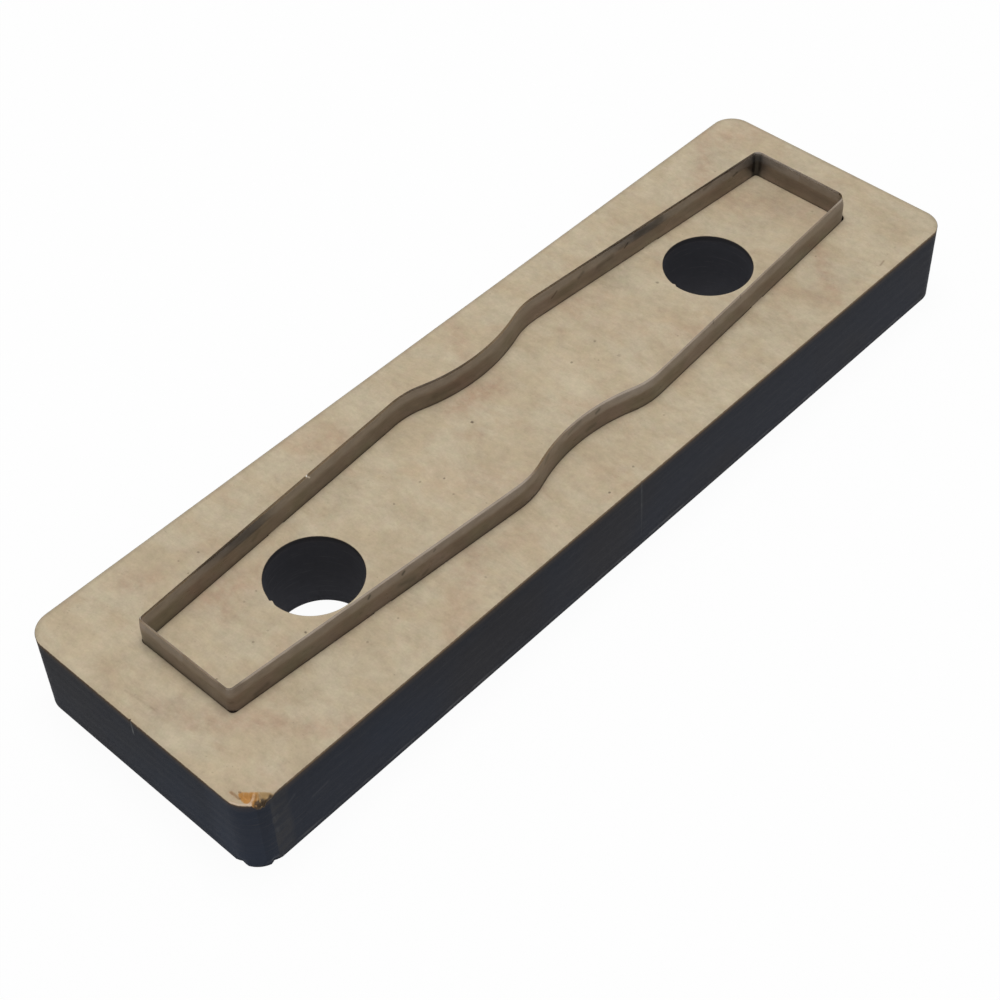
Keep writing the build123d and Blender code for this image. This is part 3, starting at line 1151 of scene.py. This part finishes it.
# stains on the long walls: start and end as distance along and height, width, strength
farStains = (
    ((44.9, 21.45), (45.9, 22.1), 0.35, 0.8), ((24.3, 20.8), (25.7, 21.7), 0.4, 0.5),
    ((48.3, 22.4), (55.8, 22.6), 1.2, 0.35), ((31.8, 21.5), (33.1, 22.0), 0.7, 0.4),
    ((37.3, 21.0), (41.2, 21.3), 1.1, 0.3), ((77.5, 21.6), (78.7, 21.9), 0.4, 0.6),
    ((68.6, 22.9), (71.0, 23.2), 0.5, 0.3), ((-58.4, 20.0), (-56.8, 20.9), 0.9, 0.3),
    ((-10.5, 19.9), (-5.5, 20.1), 1.4, 0.25),
)
nearStains = (
    ((-55.6, 22.45), (-55.15, 22.8), 0.42, 0.7), ((-47.8, 22.45), (-47.3, 22.75), 0.42, 0.75),
    ((-40.45, 22.6), (-40.05, 22.8), 0.36, 0.5), ((-48.9, 20.5), (-45.5, 19.6), 0.9, 0.3),
    ((-43.4, 18.9), (-42.3, 19.3), 0.7, 0.35), ((4.4, 22.35), (5.3, 22.7), 0.46, 0.6),
    ((-3.2, 22.5), (0.6, 23.0), 0.45, 0.3), ((2.0, 19.5), (4.0, 19.8), 0.8, 0.3),
    ((-11.4, 22.2), (-9.8, 22.8), 0.6, 0.3), ((-81.0, 19.0), (-78.4, 19.3), 0.9, 0.4),
    ((46.9, 23.1), (47.1, 23.6), 0.25, 0.5), ((37.5, 23.1), (37.7, 23.6), 0.25, 0.5),
)


def stainsOf(shade, flat, stains):
    return strongest([shade.stroke(flat, start, end, width, width / 2) * strength
                      for start, end, width, strength in stains])


def steelMaterial():
    # dark oiled strip with a paler ground band along its edge
    shade = Shade(bpy.data.materials.new("ruleSteel"))
    place = shade.place()
    x, y, z = shade.split(place)
    level = shade.join(x, y)
    flat = shade.join(x, z)
    farSide = y > 0
    wander = shade.cloud(place, 2.5) - 0.5
    mottle = shade.cloud(place, 3.0, 3.0, 0.6, (1.2, 1.2, 0.6))
    hue = shade.cloud(place, 9.0, 2.0, 0.5, (1, 1, 0.7), (3, 29, 61))
    blotch = shade.cloud(place, 1.3, 3.0, 0.6, (1.4, 1.4, 0.7), (17, 3, 9)).rise(0.6, 0.8)
    pits = shade.cloud(place, 0.55, 2.0, 0.6, (1.6, 1.6, 0.7), (5, 31, 12)).rise(0.62, 0.8)
    streaks = shade.cloud(place, 0.25, 3.0, 0.6, (14, 14, 0.5)) - 0.5
    cast = shade.cloud(place, 2.2, 3.0, 0.6, (1.3, 1.3, 0.5), (41, 7, 2)) - 0.5
    band = (z + wander * 0.5).rise(steel["groundFrom"], steel["groundTo"])
    edge = z.rise(*steel["edgeRows"])
    colour = shade.coats(
        shade.mix(hue.rise(0.5, 0.66) * 0.7, steel["body"], steel["olive"]), steel,
        (hue.rise(0.5, 0.34) * 0.7, "mauve"),
        (blotch * 0.4, "dark"),
        (pits * 0.35, "dark"),
        (band * 0.9, "ground"))
    # painted highlight: the edge's land is lifted brighter
    colour = shade.mix(edge, colour, steel["paintedEdgeHighlight"], "MULTIPLY")

    # painted light: the strip is lifted near its foot, more towards the right
    paintedFootLight = z.rise(19.9, 18.2) * (0.06 + 0.34 * x.rise(-25, 30)) * (1 - 0.35 * (x > halfLoop - 1.2))
    # painted shade: the near wall's ground band is dulled and warmed, and its edge darkened by the near bend
    atNearBend = shade.distance(level, (-halfLoop, -endHalf, 0)).rise(4.5, 1.5)
    nearBand = band * (1 - farSide)
    nearPaintedShade = nearBand * (0.08 + 0.08 * atNearBend) + edge * atNearBend * 0.28
    tone = 1 + streaks * 0.3 + cast * 0.45 + paintedFootLight - nearPaintedShade
    tones = shade.join(tone, tone - nearBand * 0.03, tone - nearBand * 0.07)
    colour = shade.mix(1.0, colour, tones, "MULTIPLY")

    stained = (stainsOf(shade, flat, farStains) * farSide).atLeast(
        stainsOf(shade, flat, nearStains) * (1 - farSide)) * (0.55 + 0.9 * mottle)
    fromBend = shade.distance(place, steel["farBendSpot"]) + wander * 1.5
    intoBend = shade.distance(level, (*steel["farBendSpot"][:2], 0))
    fromSeam = shade.distance(place, steel["seamSpot"]) + wander
    scraped = shade.stroke(flat, (-43.5, 23.65), (-42.85, 22.9), 0.26, 0.12) * farSide * 0.8
    colour = shade.coats(
        colour, steel,
        (stained.clamped(), "stain"),
        # painted shade in the hollow of the far bend and over its fillet
        (fromBend.rise(4.4, 1.2) * 0.5, "farBendShade"),
        (intoBend.rise(1.7, 0.6) * z.rise(24.2, 22.5) * 0.85, "bendFilletShade"),
        (fromSeam.rise(1.8, 0.6) * 0.5, "pinkish"),
        # darker along the foot, where the strip stands in the board
        ((z + wander * 0.3).rise(18.3, 18.05) * 0.2, "footDark"),
        ((shade.mark("torn") * 0.9).atLeast(scraped), "fresh"))
    rough = steel["roughness"] + 0.12 * band - 0.25 * edge + 0.2 * (mottle - 0.5) + 0.1 * streaks
    return principled(shade, colour, rough, streaks, steel["bump"], {"Metallic": 1.0})


faceFinish = faceMaterial()
charFinish = charMaterial()
steelFinish = steelMaterial()
print("materials made")

boardPiece = buildBoard().make([faceFinish, charFinish], board["sharpAngle"])
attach(boardPiece, "root")
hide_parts("die_board")

rulePiece = buildRule().make([steelFinish], rule["sharpAngle"])
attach(rulePiece, "root")
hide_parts("cutting_rule")


# Floor, light and camera

studio = {
    "floorSize": 6.0,
    "floorWhite": 0.92,
    "floorGlow": 0.95,
    "sky": 0.36,
    "overheadPlace": (0.03, 0.04, 0.8),
    "overheadSize": 0.5,
    "overheadPower": 3.9,
}


def seesStudio(shade):
    # 1 for the rays that show the background: straight, mirrored or through glass
    rays = ("Is Camera Ray", "Is Glossy Ray", "Is Transmission Ray")
    return strongest([shade.node("ShaderNodeLightPath", None, None, ray) for ray in rays])


def makeFloor():
    half = studio["floorSize"] / 2
    mesh = bpy.data.meshes.new("floor")
    corners = [(-half, -half, 0), (half, -half, 0), (half, half, 0), (-half, half, 0)]
    mesh.from_pydata(corners, [], [(0, 1, 2, 3)])
    floor = placed("floor", mesh)
    shade = Shade(bpy.data.materials.new("paleFloor"))
    matt = shade.node("ShaderNodeBsdfDiffuse", None, {"Color": (studio["floorWhite"],) * 3 + (1,)})
    glow = shade.node("ShaderNodeEmission", None, {"Color": (1, 1, 1, 1), "Strength": 1.0})
    share = seesStudio(shade) * studio["floorGlow"]
    mesh.materials.append(shade.finish(shade.node("ShaderNodeMixShader", None, {0: share, 1: matt, 2: glow})))


def makeWorld():
    world = bpy.data.worlds.new("studioSky")
    bpy.context.scene.world = world
    shade = Shade(world)
    strength = seesStudio(shade).atLeast(studio["sky"])
    sky = shade.node("ShaderNodeBackground", None, {"Color": (1, 1, 1, 1), "Strength": strength})
    shade.node("ShaderNodeOutputWorld", None, {"Surface": sky})


def makeLamp():
    data = bpy.data.lights.new("overhead", "AREA")
    data.shape = "DISK"
    data.size = studio["overheadSize"]
    data.energy = studio["overheadPower"]
    lamp = placed("overhead", data)
    lamp.location = studio["overheadPlace"]
    lamp.rotation_mode = "QUATERNION"
    lamp.rotation_quaternion = (-Vector(studio["overheadPlace"])).to_track_quat("-Z", "Y")


cameraView = {
    "eye": (-0.19652, -0.18408, 0.28537),
    "aim": (-0.020743, -0.012362, 0.018),
    "roll": 2.0676,
    "lens": 71.603,
    "sensor": 36,
    "clip": (0.01, 20),
}


def makeCamera():
    eye = Vector(cameraView["eye"])
    ahead = (Vector(cameraView["aim"]) - eye).normalized()
    levelRight = ahead.cross(Vector((0, 0, 1))).normalized()
    levelUp = levelRight.cross(ahead)
    roll = math.radians(cameraView["roll"])
    up = math.cos(roll) * levelUp + math.sin(roll) * levelRight
    right = ahead.cross(up)
    data = bpy.data.cameras.new("camera")
    data.lens = cameraView["lens"]
    data.sensor_width = cameraView["sensor"]
    data.clip_start, data.clip_end = cameraView["clip"]
    camera = placed("camera", data)
    camera.matrix_world = Matrix.Translation(eye) @ Matrix((right, up, -ahead)).transposed().to_4x4()
    bpy.context.scene.camera = camera


makeFloor()
makeWorld()
makeLamp()
makeCamera()
bpy.context.scene.view_settings.view_transform = "Standard"
print("floor, light and camera set")
